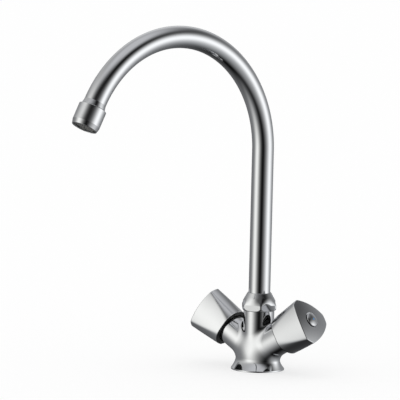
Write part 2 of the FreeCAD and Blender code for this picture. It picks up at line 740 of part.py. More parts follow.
# ------------------------------------------------------------------- all named pieces
def single_pieces():
    return {
        "body": body(),
        "base_seal": base_seal(),
        "spout_nut": spout_nut(),
        "lower_slip_ring": on_spout(lower_slip_ring()),
        "upper_slip_ring": on_spout(upper_slip_ring()),
        "spout_tail": on_spout(spout_tail()),
        "spout_o_rings": on_spout(spout_o_rings()),
        "spout_tube": on_spout(spout_tube()),
        "spout_end_fitting": on_outlet(spout_end_fitting()),
        "aerator_housing": on_outlet(aerator_housing()),
        "aerator_washer": on_outlet(aerator_washer()),
        "aerator_cartridge": on_outlet(aerator_cartridge()),
        "aerator_screen": on_outlet(aerator_screen()),
    }


def arm_pieces(side):
    """Headwork and handle of one arm, in their own frame turned as one to its corner."""
    pieces = {
        "headwork": headwork(),
        "head_gasket": head_gasket(),
        "seat_seal": seat_seal(),
        "fixed_disc": fixed_disc(),
        "turning_disc": turning_disc(),
        "spindle": spindle(),
        "spindle_o_rings": spindle_o_rings(),
        "spindle_circlip": spindle_circlip(),
        "friction_washer": friction_washer(),
        "handle_shell": handle_shell(),
        "handle_insert": handle_insert(),
        "handle_screw": handle_screw(),
        "index_button": index_button(),
        "index_dot": index_dot(),
    }
    placed = {}
    for name, shape in pieces.items():
        shape.rotate(Vector(0, 0, 0), Vector(0, 0, 1), HANDLE_TURN[side])
        placed[side + "_" + name] = on_arm(shape, side)
    return placed


pieces = single_pieces()
for side in HANDLE_TURN:
    pieces.update(arm_pieces(side))

os.makedirs("parts", exist_ok=True)
for name, shape in pieces.items():
    shape.exportStep("parts/" + name + ".step")
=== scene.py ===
import json
import math

import bmesh
import bpy
import numpy as np
from bpy.props import FloatProperty, FloatVectorProperty, PointerProperty
from mathutils import Matrix, Vector
from mathutils.geometry import delaunay_2d_cdt


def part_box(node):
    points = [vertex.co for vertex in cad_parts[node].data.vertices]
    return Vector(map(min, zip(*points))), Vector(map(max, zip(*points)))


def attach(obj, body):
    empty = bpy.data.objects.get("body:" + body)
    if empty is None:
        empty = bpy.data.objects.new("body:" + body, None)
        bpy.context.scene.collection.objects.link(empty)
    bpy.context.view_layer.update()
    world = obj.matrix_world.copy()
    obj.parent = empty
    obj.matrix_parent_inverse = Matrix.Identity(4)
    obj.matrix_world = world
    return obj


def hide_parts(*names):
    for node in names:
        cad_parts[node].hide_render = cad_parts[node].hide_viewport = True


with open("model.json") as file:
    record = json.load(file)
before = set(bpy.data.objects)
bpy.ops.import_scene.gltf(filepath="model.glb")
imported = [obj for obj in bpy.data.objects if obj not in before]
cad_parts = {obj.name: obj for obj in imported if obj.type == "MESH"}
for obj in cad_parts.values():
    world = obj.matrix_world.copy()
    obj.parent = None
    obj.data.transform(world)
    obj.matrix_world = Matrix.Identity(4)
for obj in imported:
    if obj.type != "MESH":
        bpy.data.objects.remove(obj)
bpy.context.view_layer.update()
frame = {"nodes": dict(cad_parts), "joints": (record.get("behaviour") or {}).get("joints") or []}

bl_info = {
    "name": "Two-Handle Kitchen Faucet",
    "version": (1, 0, 0),
    "blender": (4, 5, 0),
    "location": "View3D > Sidebar > Faucet",
    "description": "Dresses the packed faucet with smooth surfaces, finishes and a studio",
    "category": "Object",
}

MM = 0.001
SIDES = ("cold", "hot")

# the two arm axes cross the axis of the riser here, and the handles turn about them
VALVES = {joint["child"][: -len("_handle")]: joint for joint in frame["joints"][1:]}
ARM_ORIGIN = np.array(VALVES["cold"]["pos_m"], float)
ARM_AXIS = {side: np.array(VALVES[side]["axis"], float) for side in SIDES}
NUT_LOW, NUT_HIGH = (corner.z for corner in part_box("spout_nut"))
TUBE_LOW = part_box("spout_tube")[0].z

# the hub, where core and arms flow together, ends on the flare at the first height, and
# on the riser at the second one, from where its edge rises towards the arms by a share
# of the distance from the middle plane
HUB_LOW, HUB_HIGH = 4.5 * MM, 43.3 * MM
RISER_SEAM_SLOPE = 0.75
HUB_POINTS, HUB_ROWS = 61, 110  # points on a quarter of its edge, and rows to each arm
HALVINGS = 36  # steps in which a point is found between two bounds
FIT = 0.02 * MM  # play between two pieces that are screwed or pressed together
PICTURE = 400  # width and height of the picture


# ------ sizes and colours
def linear(hex_colour):
    """The linear red, green and blue of an sRGB hex colour."""
    parts = [int(hex_colour[i : i + 2], 16) / 255 for i in (1, 3, 5)]
    return [c / 12.92 if c <= 0.04045 else ((c + 0.055) / 1.055) ** 2.4 for c in parts]


def length(name, description, millimetres):
    """A length property, with its default given in millimetres."""
    kind = {"min": 0, "precision": 5, "unit": "LENGTH", "subtype": "DISTANCE"}
    return FloatProperty(name=name, description=description, default=millimetres * MM, **kind)


def angle(name, description, degrees):
    """An angle property, with its default given in degrees."""
    kind = {"unit": "ROTATION", "subtype": "ANGLE"}
    return FloatProperty(name=name, description=description, default=math.radians(degrees), **kind)


def colour(name, description, hex_colour):
    """A colour property, with its default given as an sRGB hex colour."""
    kind = {"size": 3, "min": 0, "max": 1, "subtype": "COLOR"}
    value = linear(hex_colour)
    return FloatVectorProperty(name=name, description=description, default=value, **kind)


def number(name, description, default):
    """A plain number property."""
    return FloatProperty(name=name, description=description, default=default)


class FaucetCasting(bpy.types.PropertyGroup):
    """Sizes of the cast body."""

    foot_r: length("Foot", "Radius of the foot's rim", 24.5)
    foot_edge: length("Foot edge", "Upright edge under the flare", 1.2)
    waist_x: length("Waist width", "Half the waist's width, along the arms", 22.35)
    waist_y: length("Waist depth", "Half the waist's depth, across the arms", 15.6)
    waist_z: length("Waist height", "Height of the waist", 10.5)
    flare: number("Flare", "How sharply the foot flares: 1 is straight", 1.6)
    riser_r: length("Riser", "Radius of the riser", 14.2)
    riser_z: length("Riser start", "Height where the neck has become the riser", 36.0)
    riser_top: length("Riser top", "Shoulder under the nut", 54.6)
    neck_r: length("Neck", "Radius of the threaded neck inside the nut", 13.2)
    neck_top: length("Neck top", "Top face of the neck", 61.9)
    socket_r: length("Socket", "Bore that the spout's tail turns in", 9.3)
    socket_floor: length("Socket floor", "Height of the socket's floor", 36.0)
    arm_r: length("Arm", "Radius of an arm", 14.3)
    arm_end: length("Arm end", "Distance of an arm's end from the riser's axis", 39.5)
    chamber_r: length("Chamber", "Radius of a valve chamber", 9.4)
    chamber_floor: length("Chamber floor", "Place of the valve seat along the arm", 15.0)
    thread_r: length("Head thread", "Radius of the thread for the headwork", 10.42)
    thread_from: length("Thread start", "Place of the thread's start along the arm", 28.0)
    blend: length("Cast blend", "Width of the soft blend between arms and body", 5.0)
    edge: length("Edge", "Rounding of machined edges", 0.4)
    inlet_x: length("Inlet place", "Distance of an inlet from the axis", 8.0)
    inlet_r: length("Inlet", "Radius of an inlet", 5.0)
    inlet_depth: length("Inlet depth", "Depth of an inlet", 12.0)
    stud_y: length("Stud place", "Distance of the stud's hole from the axis", 10.5)
    stud_r: length("Stud", "Radius of the stud's hole", 4.0)
    stud_depth: length("Stud depth", "Depth of the stud's hole", 14.0)
    groove_out: length("Seal groove", "Outer radius of the groove under the foot", 22.0)
    groove_in: length("Seal groove inside", "Inner radius of that groove", 17.0)
    groove_depth: length("Seal groove depth", "Depth of that groove", 2.0)


class FaucetSpout(bpy.types.PropertyGroup):
    """Sizes of the nut, the gooseneck and its outlet."""

    nut_r: length("Nut", "Radius over the nut's corners", 17.0)
    nut_flats: length("Flats", "Distance from the axis to a flat", 15.0)
    nut_foot_r: length("Nut foot", "Radius of the nut's lower edge", 14.5)
    nut_top_r: length("Nut top", "Radius of the nut's upper edge", 10.9)
    nut_land: length("Nut land", "Height of the land's lower end above the nut's foot", 2.6)
    nut_cone: length("Nut cone", "Height where the cone starts above the nut's foot", 5.3)
    nut_turn: angle("Nut turn", "From the front to the first flat", 12.4)
    tube_r: length("Tube", "Outer radius of the tube", 10.0)
    tube_wall: length("Tube wall", "Thickness of the tube", 1.0)
    bend_z: length("Bend height", "Height of the bend's centre", 202.7)
    bend_r: length("Bend", "Radius of the bend, to the tube's centre line", 105.9)
    bend_sweep: angle("Sweep", "How far the tube bends over", 151.8)
    spout_turn: angle("Spout turn", "How far the spout stands off the front", -11.7)
    flare_r: length("Flare", "Radius at the lower end of the flare", 10.9)
    flare_l: length("Flare length", "Length of the flare", 4.4)
    groove: length("Outlet groove", "Groove between flare and housing", 0.6)
    outlet_thread_r: length("Outlet thread", "Radius of the aerator's thread", 10.95)
    outlet_thread_l: length("Outlet thread length", "Length of that thread", 7.0)
    outlet_bore_r: length("Outlet bore", "Radius of the way out", 7.8)
    housing_r: length("Housing", "Radius of the aerator's housing", 12.7)
    housing_l: length("Housing length", "Length of the housing", 19.7)
    bevel_l: length("Bevel", "Length of the bevel at the open end", 4.2)
    bevel_r: length("Bevel end", "Radius at the end of the bevel", 11.65)
    lip_r: length("Lip", "Opening of the lip", 10.6)
    lip_l: length("Lip length", "Length of the lip", 1.6)
    edge: length("Edge", "Rounding of turned edges", 0.3)
    wire_pitch: length("Wire pitch", "Distance between the wires of the screen", 1.2)
    wire_r: length("Wire", "Radius of a wire", 0.2)


class FaucetHandle(bpy.types.PropertyGroup):
    """Sizes of a handle, along and around its axis."""

    mouth: length("Mouth", "Place of the open end", 36.6)
    face: length("Face", "Place of the face's corners", 67.7)
    mouth_r: length("Mouth corner", "Radius of the corners at the mouth", 18.7)
    corner_r: length("Face corner", "Radius of the corners at the face", 22.9)
    side_r: length("Side bulge", "Radius of a side's bulge", 65.3)
    side_mid: length("Side", "Distance from the axis to the middle of a side", 17.5)
    crown: length("Crown", "Rise of the domed face", 2.4)
    edge: length("Edge", "Rounding of the handle's edges", 0.7)
    wall: length("Wall", "Thickness of the side walls", 1.3)
    roof: length("Roof", "Thickness under the corners of the face", 3.4)
    lip_w: length("Lip", "Width of the lining's flange over the open edge", 3.6)
    lip_t: length("Lip thickness", "Thickness of that flange", 0.7)
    boss_r: length("Boss", "Radius of the boss for the screw", 9.4)
    seat: length("Screw seat", "Place of the screw's seat", 61.0)
    seat_t: length("Screw seat thickness", "Thickness of that seat", 2.2)
    screw_r: length("Screw hole", "Radius of the screw's hole", 2.05)
    hole_r: length("Button hole", "Radius of the hole for the button", 7.4)
    button_r: length("Button", "Radius of the button's dome", 6.6)
    button_rise: length("Button rise", "Height of the button above the face", 2.4)
    button_drop: length("Button drop", "Depth of the button's edge below the face", 0.8)
    button_dome: length("Button dome", "Rise of the dome above the button's upright edge", 1.5)
    button_lip: length("Button lip", "Thickness of the button's edge", 1.2)
    button_foot: length("Button foot", "Place of the button's underside", 66.4)
    dot_r: length("Dot", "Radius of the coloured dot", 1.0)
    dot_t: length("Dot thickness", "Thickness of the dot", 0.5)
    turn_cold: angle("Cold turn", "Turn of the cold handle about its axis", -2.5)
    turn_hot: angle("Hot turn", "Turn of the hot handle about its axis", 73.5)


class FaucetFinish(bpy.types.PropertyGroup):
    """Colours of the finishes."""

    chrome: colour("Chrome", "Colour of the chrome plate", "#DADBDD")
    brass: colour("Brass", "Colour of bare turned brass", "#C9A45C")
    steel: colour("Steel", "Colour of stainless steel", "#A9A8A6")
    rubber: colour("Rubber", "Colour of the seals", "#1B1B1C")
    plastic: colour("Black plastic", "Colour of the handle's lining", "#121213")
    acetal: colour("Acetal", "Colour of the slip rings", "#E6E4DC")
    grey_acetal: colour("Grey acetal", "Colour of the aerator's cartridge", "#5C5D60")
    fibre: colour("Fibre", "Colour of the fibre gaskets", "#8F5A44")
    ceramic: colour("Ceramic", "Colour of the alumina discs", "#EFEDE6")
    blue: colour("Cold dot", "Colour of the cold dot", "#4F86B8")
    red: colour("Hot dot", "Colour of the hot dot", "#B23A38")


class FaucetStudio(bpy.types.PropertyGroup):
    """Camera, floor and light."""

    azimuth: angle("Azimuth", "Camera's turn about the faucet from the front", 36.36)
    elevation: angle("Elevation", "Camera's height angle", 5.92)
    roll: angle("Roll", "Camera's tilt about its own axis", 1.44)
    distance: length("Distance", "From the camera to the aim point", 3114)
    aim_z: length("Aim height", "Height of the aim point on the riser's axis", 160)
    focal_px: number("Focal length", "Focal length in pixels of the picture", 3392)
    aim_x_px: number("Aim across", "Place of the aim point across the picture", 261.8)
    aim_y_px: number("Aim down", "Place of the aim point down the picture", 196.43)
    floor: colour("Floor", "Colour of the floor", "#FDFDFD")
    floor_glow: number("Floor glow", "Share of the floor's light that comes from below", 0.6)


# ------ numpy geometry
def unit(vectors):
    """Vectors divided by their lengths."""
    return vectors / np.linalg.norm(vectors, axis=-1, keepdims=True)


def mix(a, b, share):
    """a where share is 0, b where it is 1, and in proportion between."""
    return a + (b - a) * share


def polar(radius, azimuth, height):
    """Points at a radius and azimuth around Z, at a height."""
    parts = np.broadcast_arrays(radius * np.cos(azimuth), radius * np.sin(azimuth), height)
    return np.stack(parts, -1)


def smooth_min(a, b, soft):
    """The lower of two values, eased where they differ by less than soft: their
    minimum less a quarter of soft times the square of one minus difference over soft."""
    share = np.clip(1 - np.abs(a - b) / soft, 0, None)
    return np.minimum(a, b) - share * share * soft / 4


def corner_arc(before, corner, after, radius, steps=6):
    """Rows of points that round off a corner. The circle of that radius touches both
    sides, and its arc is the rational quadratic curve over the two touching points
    with the corner as its middle pole, weighted by the cosine of half the turn. One
    more point on each side, just beyond the arc, keeps the shading of the flats."""
    back = unit(before - corner)
    onward = unit(after - corner)
    half_turn = (math.pi - np.arccos(np.clip((back * onward).sum(-1), -1, 1)))[..., None] / 2
    reach = radius * np.tan(half_turn)
    start, end = corner + back * reach, corner + onward * reach
    rows = [start + back * reach * 0.2]
    for t in np.linspace(0, 1, steps + 1):
        pulls = ((1 - t) ** 2, 2 * t * (1 - t) * np.cos(half_turn), t**2)
        point = pulls[0] * start + pulls[1] * corner + pulls[2] * end
        rows.append(point / (pulls[0] + pulls[1] + pulls[2]))
    return rows + [end + onward * reach * 0.2]


def rounded(corners, closed=False):
    """The (radius, height) rows of an outline given as (radius, height, rounding)."""
    corners = np.array(corners, float)
    points, radii = corners[:, :2], corners[:, 2]
    rows = []
    for i, radius in enumerate(radii):
        at_end = not closed and i in (0, len(radii) - 1)
        if at_end or radius == 0:
            rows.append(points[i])
        else:
            rows += corner_arc(points[i - 1], points[i], points[(i + 1) % len(radii)], radius)
    return np.array(rows)


def turned(outline, azimuths):
    """A grid turned about Z: every (radius, height) row at every azimuth."""
    return polar(outline[:, :1], azimuths[None, :], outline[:, 1:])


def around(count):
    """Azimuths that go evenly once round."""
    return np.arange(count) * 2 * math.pi / count


def grid_faces(points, closed=False):
    """Four-sided faces between neighbouring rows and columns of a grid. The columns
    go round, and the rows do too where closed says so."""
    rows, columns = points.shape[:2]
    i = np.arange(rows if closed else rows - 1)[:, None] + np.zeros(columns, int)
    j = np.arange(columns)[None, :] + np.zeros_like(i)
    below, right = (i + 1) % rows, (j + 1) % columns
    corners = (i * columns + j, i * columns + right, below * columns + right, below * columns + j)
    return np.stack(corners, -1).reshape(-1, 4)


def grid_patch(points, closed=False):
    """The flat list of a grid's points with its faces."""
    return points.reshape(-1, 3), grid_faces(points, closed)


def axis_frame(side, turn=0.0):
    """Origin and axes of an arm: across, up-inward and along. Across is level behind
    the cold arm and in front of the hot one, and both are turned about the arm."""
    along = ARM_AXIS[side]
    level = unit(np.cross([0.0, 0.0, 1.0], along))
    upward = np.cross(along, level)
    across = math.cos(turn) * level + math.sin(turn) * upward
    return ARM_ORIGIN, np.stack([across, np.cross(along, across), along])


def spout_ways(spout):
    """The spout's level directions, forward and sideways."""
    forward = np.array([math.sin(spout.spout_turn), -math.cos(spout.spout_turn), 0.0])
    return forward, np.array([-forward[1], forward[0], 0.0])


def outlet_frame(spout):
    """Origin and axes of the outlet: the end of the bend, with Z along the way out."""
    (forward, sideways), sweep = spout_ways(spout), spout.bend_sweep
    out = spout.bend_r * (1 - math.cos(sweep))
    end = forward * out + np.array([0, 0, spout.bend_z + spout.bend_r * math.sin(sweep)])
    along = forward * math.sin(sweep) + np.array([0, 0, math.cos(sweep)])
    return end, np.stack([sideways, np.cross(along, sideways), along])


def placed(points, place):
    """Points given along a frame's axes from its origin, in the row frame."""
    origin, axes = place
    return origin + points @ axes


# ------ mesh building
def solid(name, patches, finish, body, nodes, slot, crease=35):
    """One closed piece from patches of points and faces. Their shared edges are
    joined, faces point outwards, and edges sharper than crease degrees stay sharp."""
    starts = np.cumsum([0] + [len(points) for points, _ in patches])
    shifted = [(faces + start).tolist() for (_, faces), start in zip(patches, starts)]
    mesh = bpy.data.meshes.new(name)
    mesh.from_pydata(np.concatenate([points for points, _ in patches]), [], sum(shifted, []))
    shape = bmesh.new()
    shape.from_mesh(mesh)
    bmesh.ops.remove_doubles(shape, verts=shape.verts, dist=1e-6)
    bmesh.ops.recalc_face_normals(shape, faces=shape.faces)
    shape.to_mesh(mesh)
    shape.free()
    mesh.shade_smooth()
    mesh.set_sharp_from_angle(angle=math.radians(crease))
    mesh.materials.append(bpy.data.materials[finish])
    piece = bpy.data.objects.new(name, mesh)
    bpy.context.scene.collection.objects.link(piece)
    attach(piece, body)
    if nodes:
        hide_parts(*nodes)


# ------ cast body
def core_half(z, waist, cast):
    """Half width of the core at a height, from its half width at the waist. Under the
    waist it widens to the foot's rim by a power of the share of the way down, and from
    the waist to the riser it goes from one value to the other by 3t^2 - 2t^3 of a cubic
    curve's parameter t, upright at both ends."""
    share = np.clip((cast.waist_z - z) / (cast.waist_z - cast.foot_edge), 0, 1)
    foot = mix(waist, cast.foot_r, share**cast.flare)
    height = np.clip((z - cast.waist_z) / (cast.riser_z - cast.waist_z), 0, 1)
    pole, t = 0.42, height  # the curve's inner poles stand this share from its ends
    for _ in range(8):
        reached = 3 * pole * t * (1 - t) ** 2 + 3 * (1 - pole) * t * t * (1 - t) + t**3
        slope = 3 * pole * (1 - t) ** 2 + 6 * (1 - 2 * pole) * t * (1 - t) + 3 * pole * t * t
        t = np.clip(t - (reached - height) / slope, 0, 1)
    neck = mix(waist, cast.riser_r, t * t * (3 - 2 * t))
    return np.where(z < cast.waist_z, foot, neck)


def core_widths(z, cast):
    """Half width along the arms and across them: the core's section is an ellipse, which
    is round at the foot's rim and at the riser."""
    return core_half(z, cast.waist_x, cast), core_half(z, cast.waist_y, cast)


def core_ring(azimuth, z, cast):
    """Points of the core at an azimuth and a height: one over the root of the squares
    of cosine over width and sine over depth is an ellipse's radius."""
    wide, deep = core_widths(z, cast)
    radius = 1 / np.hypot(np.cos(azimuth) / wide, np.sin(azimuth) / deep)
    return polar(radius, azimuth, z)


def arm_gap(points, side, cast):
    """Distance from an arm's skin: that from the half line of its axis, less the radius."""
    offset = points - ARM_ORIGIN
    reach = np.clip(offset @ ARM_AXIS[side], 0, None)
    return np.linalg.norm(offset - reach[..., None] * ARM_AXIS[side], axis=-1) - cast.arm_r


def casting_gap(points, cast):
    """Below zero inside the casting: the smooth minimum of the gaps to the oval core
    and to both arms, so that they run into each other like a cast shape."""
    wide, deep = core_widths(points[..., 2], cast)
    core = (np.hypot(points[..., 0] / wide, points[..., 1] / deep) - 1) * np.sqrt(wide * deep)
    arms = smooth_min(arm_gap(points, "cold", cast), arm_gap(points, "hot", cast), cast.blend)
    return smooth_min(core, arms, cast.blend)


def casting_skin(slant, bearing, cast):
    """Points of the casting's skin, seen from where the axes meet: slant is the angle
    from the cold arm's axis and bearing the one round it. The distance is halved until
    the skin is found."""
    axes = axis_frame("cold")[1]
    ray = polar(np.sin(slant), bearing, np.cos(slant)) @ axes
    low, high = np.zeros(slant.shape), np.full(slant.shape, 2 * cast.foot_r + cast.waist_z)
    for _ in range(HALVINGS):
        middle = (low + high) / 2
        inside = casting_gap(ARM_ORIGIN + middle[..., None] * ray, cast) < 0
        low, high = np.where(inside, middle, low), np.where(inside, high, middle)
    return ARM_ORIGIN + high[..., None] * ray


def bearing_of(points):
    """Bearing of points round the cold arm's axis."""
    local = (points - ARM_ORIGIN) @ axis_frame("cold")[1].T
    return np.arctan2(local[..., 1], local[..., 0])


def riser_seam(azimuth, cast):
    """Height of the hub's upper end on the riser: two planes that rise away from the
    middle plane, steeper than the arms do, so that no bearing meets them twice."""
    return HUB_HIGH + RISER_SEAM_SLOPE * cast.riser_r * np.abs(np.cos(azimuth))


def hub_bearings(cast):
    """Bearings of the hub's columns. They meet evenly spaced points of the hub's upper
    and lower edge, and divide evenly between these."""
    half = np.linspace(-math.pi / 2, math.pi / 2, HUB_POINTS)
    top = bearing_of(polar(cast.riser_r, half, riser_seam(half, cast)))[::-1]
    bottom = bearing_of(core_ring(half, HUB_LOW, cast)) % (2 * math.pi)
    back = np.linspace(bottom[-1] - 2 * math.pi, top[0], HUB_POINTS)
    front = np.linspace(top[-1], bottom[0], HUB_POINTS)
    return np.concatenate([back[:-1], top[:-1], front[:-1], bottom[:-1]])


def arm_half(cast):
    """The half of the hub around the cold arm, with the arm and its chamber. Rows go
    from the chamber's floor out over the arm's end, then over the skin by slant, from
    the arm's edge to the middle plane or to the hub's upper or lower edge."""
    bearing = hub_bearings(cast)
    edge, end, floor = cast.edge, cast.arm_end, cast.chamber_floor
    chamber = [
        (0, floor, 0),
        (cast.chamber_r, floor, 0),
        (cast.chamber_r, cast.thread_from, 0),
        (cast.thread_r, cast.thread_from, 0),
        (cast.thread_r, end, edge / 2),
        (cast.arm_r, end, edge),
        (cast.arm_r, end - 3 * edge, 0),
    ]
    outer = placed(turned(rounded(chamber), bearing), axis_frame("cold"))
    first = math.atan2(cast.arm_r, end - 3 * edge)
    beyond = math.radians(125)  # further round than the skin goes on any bearing
    near, far = np.full(bearing.shape, first), np.full(bearing.shape, beyond)
    for _ in range(HALVINGS):
        middle = (near + far) / 2
        x, _, z = casting_skin(middle, bearing, cast).T
        inside = (x > 0) & (z < HUB_HIGH + RISER_SEAM_SLOPE * x) & (z > HUB_LOW)
        near, far = np.where(inside, middle, near), np.where(inside, far, middle)
    slant = mix(first, far, np.linspace(0, 1, HUB_ROWS)[1:, None])
    skin = casting_skin(slant, np.broadcast_to(bearing, slant.shape), cast)
    return np.concatenate([outer, skin])


def underside(azimuths, cast):
    """The flat underside within the seal's groove, triangulated round the two inlets
    and the stud's hole, and the walls and floors of these three."""
    holes = [
        (cast.inlet_x, 0.0, cast.inlet_r, cast.inlet_depth),
        (-cast.inlet_x, 0.0, cast.inlet_r, cast.inlet_depth),
        (0.0, cast.stud_y, cast.stud_r, cast.stud_depth),
    ]
    loops = [polar(cast.groove_in, azimuths, 0.0)]
    patches = []
    for x, y, radius, depth in holes:
        wall = turned(np.array([[radius, 0], [radius, depth], [0, depth]]), around(64))
        wall += [x, y, 0.0]
        loops.append(wall[0])
        patches.append(grid_patch(wall))
    points = np.concatenate(loops)
    edges, start = [], 0
    for loop in loops:
        index = np.arange(len(loop))
        edges += (np.stack([index, (index + 1) % len(loop)], -1) + start).tolist()
        start += len(loop)
    flat = delaunay_2d_cdt([Vector(p) for p in points[:, :2]], edges, [], 0, 1e-9)
    corners = np.array([[*v, 0.0] for v in flat[0]])
    faces = np.array(flat[2])
    centres = corners[faces].mean(1)
    keep = np.ones(len(faces), bool)
    for x, y, radius, _ in holes:
        within = radius * 0.998  # a face's middle lies inside the hole's polygon
        keep &= np.hypot(centres[:, 0] - x, centres[:, 1] - y) > within
    return patches + [(corners, faces[keep])]


def casting_patches(cast):
    """All patches of the casting: two mirrored arm halves, foot, underside and riser."""
    half = arm_half(cast)
    azimuths = around(120)
    heights = np.linspace(HUB_LOW, cast.foot_edge, 16)[:, None]
    edge, column_top = cast.edge / 2, cast.riser_top - cast.edge
    foot = [
        (cast.foot_r, cast.foot_edge, 0),
        (cast.foot_r, 0, edge),
        (cast.groove_out, 0, edge),
        (cast.groove_out, cast.groove_depth, 0),
        (cast.groove_in, cast.groove_depth, 0),
        (cast.groove_in, 0, 0),
    ]
    shares = np.linspace(0, 1, 12)[:-1, None]
    column = polar(cast.riser_r, azimuths, mix(riser_seam(azimuths, cast), column_top, shares))
    riser = [
        (cast.riser_r, column_top, 0),
        (cast.riser_r, cast.riser_top, edge),
        (cast.neck_r, cast.riser_top, 0),
        (cast.neck_r, cast.neck_top, cast.edge),
        (cast.socket_r, cast.neck_top, cast.edge),
        (cast.socket_r, cast.socket_floor, 0),
        (0, cast.socket_floor, 0),
    ]
    flare = core_ring(azimuths[None, :], heights, cast)
    grids = (
        half,
        half * [-1.0, 1.0, 1.0],
        np.concatenate([flare, turned(rounded(foot)[1:], azimuths)]),
        np.concatenate([column, turned(rounded(riser), azimuths)]),
    )
    return [grid_patch(points) for points in grids] + underside(azimuths, cast)


# ------ nut and spout
def nut_patches(spout):
    """The union nut: a turned outline whose radius is cut off by six flats. A flat's
    distance at an azimuth is the distance of its middle over the cosine of the angle
    from it, and the smooth minimum with the outline leaves the lens-shaped facets."""
    azimuths = around(480)
    cast = bpy.context.scene.faucet_casting
    foot_in, top_in = spout.nut_foot_r - 0.5 * MM, spout.nut_top_r - 0.4 * MM
    outside = [
        (foot_in, NUT_LOW, 0),
        (spout.nut_foot_r, NUT_LOW, 0.3 * MM),
        (spout.nut_r - 0.85 * MM, NUT_LOW + spout.nut_land * 0.36, 2.0 * MM),
        (spout.nut_r, NUT_LOW + spout.nut_land, 0.8 * MM),
        (spout.nut_r, NUT_LOW + spout.nut_cone, 1.0 * MM),
        (spout.nut_top_r, NUT_HIGH, 0.35 * MM),
        (top_in, NUT_HIGH, 0),
    ]
    outside = rounded(outside)
    steps = np.linspace(0, 1, 4)[:-1, None]
    outside = np.concatenate([mix(a, b, steps) for a, b in zip(outside, outside[1:])])
    flats = (azimuths + math.pi / 2 - spout.nut_turn + math.pi / 6) % (math.pi / 3) - math.pi / 6
    cut = spout.nut_flats / np.cos(flats)
    skin = polar(smooth_min(outside[:, :1], cut[None, :], 0.25 * MM), azimuths, outside[:, 1:])
    bore_r, thread_r, collar = spout.tube_r + 0.3 * MM, cast.neck_r + FIT, cast.neck_top + 4 * MM
    inside = [
        (top_in, NUT_HIGH, 0),
        (bore_r, NUT_HIGH, 0.1 * MM),
        (bore_r, collar, 0),
        (thread_r, collar, 0),
        (thread_r, NUT_LOW, 0),
        (foot_in, NUT_LOW, 0),
    ]
    lining = turned(rounded(inside), azimuths)[:-1]
    return [grid_patch(np.concatenate([skin, lining]), closed=True)]


def spout_path(shares, spout):
    """Centre line of the gooseneck: positions with their upward-outward normals. The
    lower part is straight, and the rest an arc of the bend's radius."""
    straight = spout.bend_z - TUBE_LOW
    travelled = shares * (straight + spout.bend_r * spout.bend_sweep)
    swept = np.clip((travelled - straight) / spout.bend_r, 0, None)
    height = np.where(travelled < straight, TUBE_LOW + travelled, spout.bend_z)
    height += spout.bend_r * np.sin(swept)
    out = spout.bend_r * (1 - np.cos(swept))
    forward, upright = spout_ways(spout)[0], np.array([0.0, 0.0, 1.0])
    places = out[:, None] * forward + height[:, None] * upright
    normals = -np.cos(swept)[:, None] * forward + np.sin(swept)[:, None] * upright
    return places, normals


def tube_patches(spout):
    """The drawn tube: a circle carried along the centre line, once outside and once
    inside with fewer rows, with the two ends closed between them."""
    places, normals = spout_path(np.linspace(0, 1, 420), spout)
    azimuths = around(112)
    ring = np.cos(azimuths)[:, None] * spout_ways(spout)[1]
    outward = ring[None] + np.sin(azimuths)[None, :, None] * normals[:, None, :]
    skin = places[:, None] + outward * spout.tube_r
    bore = places[:, None] + outward * (spout.tube_r - spout.tube_wall)
    return [grid_patch(np.concatenate([skin, bore[::-6], bore[:1]]), closed=True)]


def outlet_turned(outline, count, spout):
    """A closed outline turned about the way out."""
    grid = turned(rounded(outline, closed=True), around(count))
    return [grid_patch(placed(grid, outlet_frame(spout)), closed=True)]


def fitting_patches(spout):
    """The flared end of the tube with the aerator's thread, turned."""
    groove_r, plug_r = spout.flare_r - spout.groove, spout.tube_r - spout.tube_wall - 0.1 * MM
    first, plug = spout.flare_l + spout.groove, -3 * MM
    last = first + spout.outlet_thread_l
    outline = [
        (spout.outlet_bore_r, plug, 0),
        (plug_r, plug, 0),
        (plug_r, 0, 0),
        (spout.tube_r, 0, 0),
        (spout.flare_r, spout.flare_l, spout.edge / 2),
        (groove_r, spout.flare_l, 0),
        (groove_r, first, 0),
        (spout.outlet_thread_r, first, 0),
        (spout.outlet_thread_r, last, 0),
        (spout.outlet_bore_r, last, 0),
    ]
    return outlet_turned(outline, 128, spout)


def housing_patches(spout):
    """The aerator's sleeve with its bevelled end and inner lip, turned."""
    first = spout.flare_l + spout.groove
    last = first + spout.housing_l
    inner_r, edge = spout.outlet_thread_r + FIT, spout.edge
    outline = [
        (inner_r, first, 0),
        (spout.housing_r, first, 2 * edge),
        (spout.housing_r, last - spout.bevel_l, 3 * edge),
        (spout.bevel_r, last, edge),
        (spout.lip_r, last, edge),
        (spout.lip_r, last - spout.lip_l, 0),
        (inner_r, last - spout.lip_l, 0),
    ]
    return outlet_turned(outline, 160, spout)


def screen_patches(spout):
    """The woven screen: each wire is a small six-sided tube whose middle line rises
    and falls as a cosine with the pitch of the wires that cross it."""
    first = spout.flare_l + spout.groove
    level = first + spout.housing_l - spout.lip_l - 0.35 * MM
    pitch, wire = spout.wire_pitch, spout.wire_r
    reach = spout.outlet_thread_r - 0.3 * MM
    count = int(reach / pitch)
    patches = []
    for lane in range(-count, count + 1):
        half = math.sqrt(reach**2 - (lane * pitch) ** 2)
        along = np.linspace(-half, half, max(8, int(half / pitch * 10)))
        for across in (0, 1):
            wave = np.cos(math.pi * (along / pitch + lane + across)) * wire * 0.9
            middle = np.stack([along, np.full_like(along, lane * pitch), level + wave], -1)
            spin = around(6)[None, :, None]
            circle = np.concatenate([0 * spin, np.cos(spin), np.sin(spin)], -1)
            ring = middle[:, None] + wire * circle
            tips = [middle[i] + 0 * ring[:1] for i in (0, -1)]
            ring = np.concatenate([tips[0], ring, tips[1]])
            if across:
                ring = ring[..., [1, 0, 2]]
            patches.append(grid_patch(placed(ring, outlet_frame(spout))))
    return patches


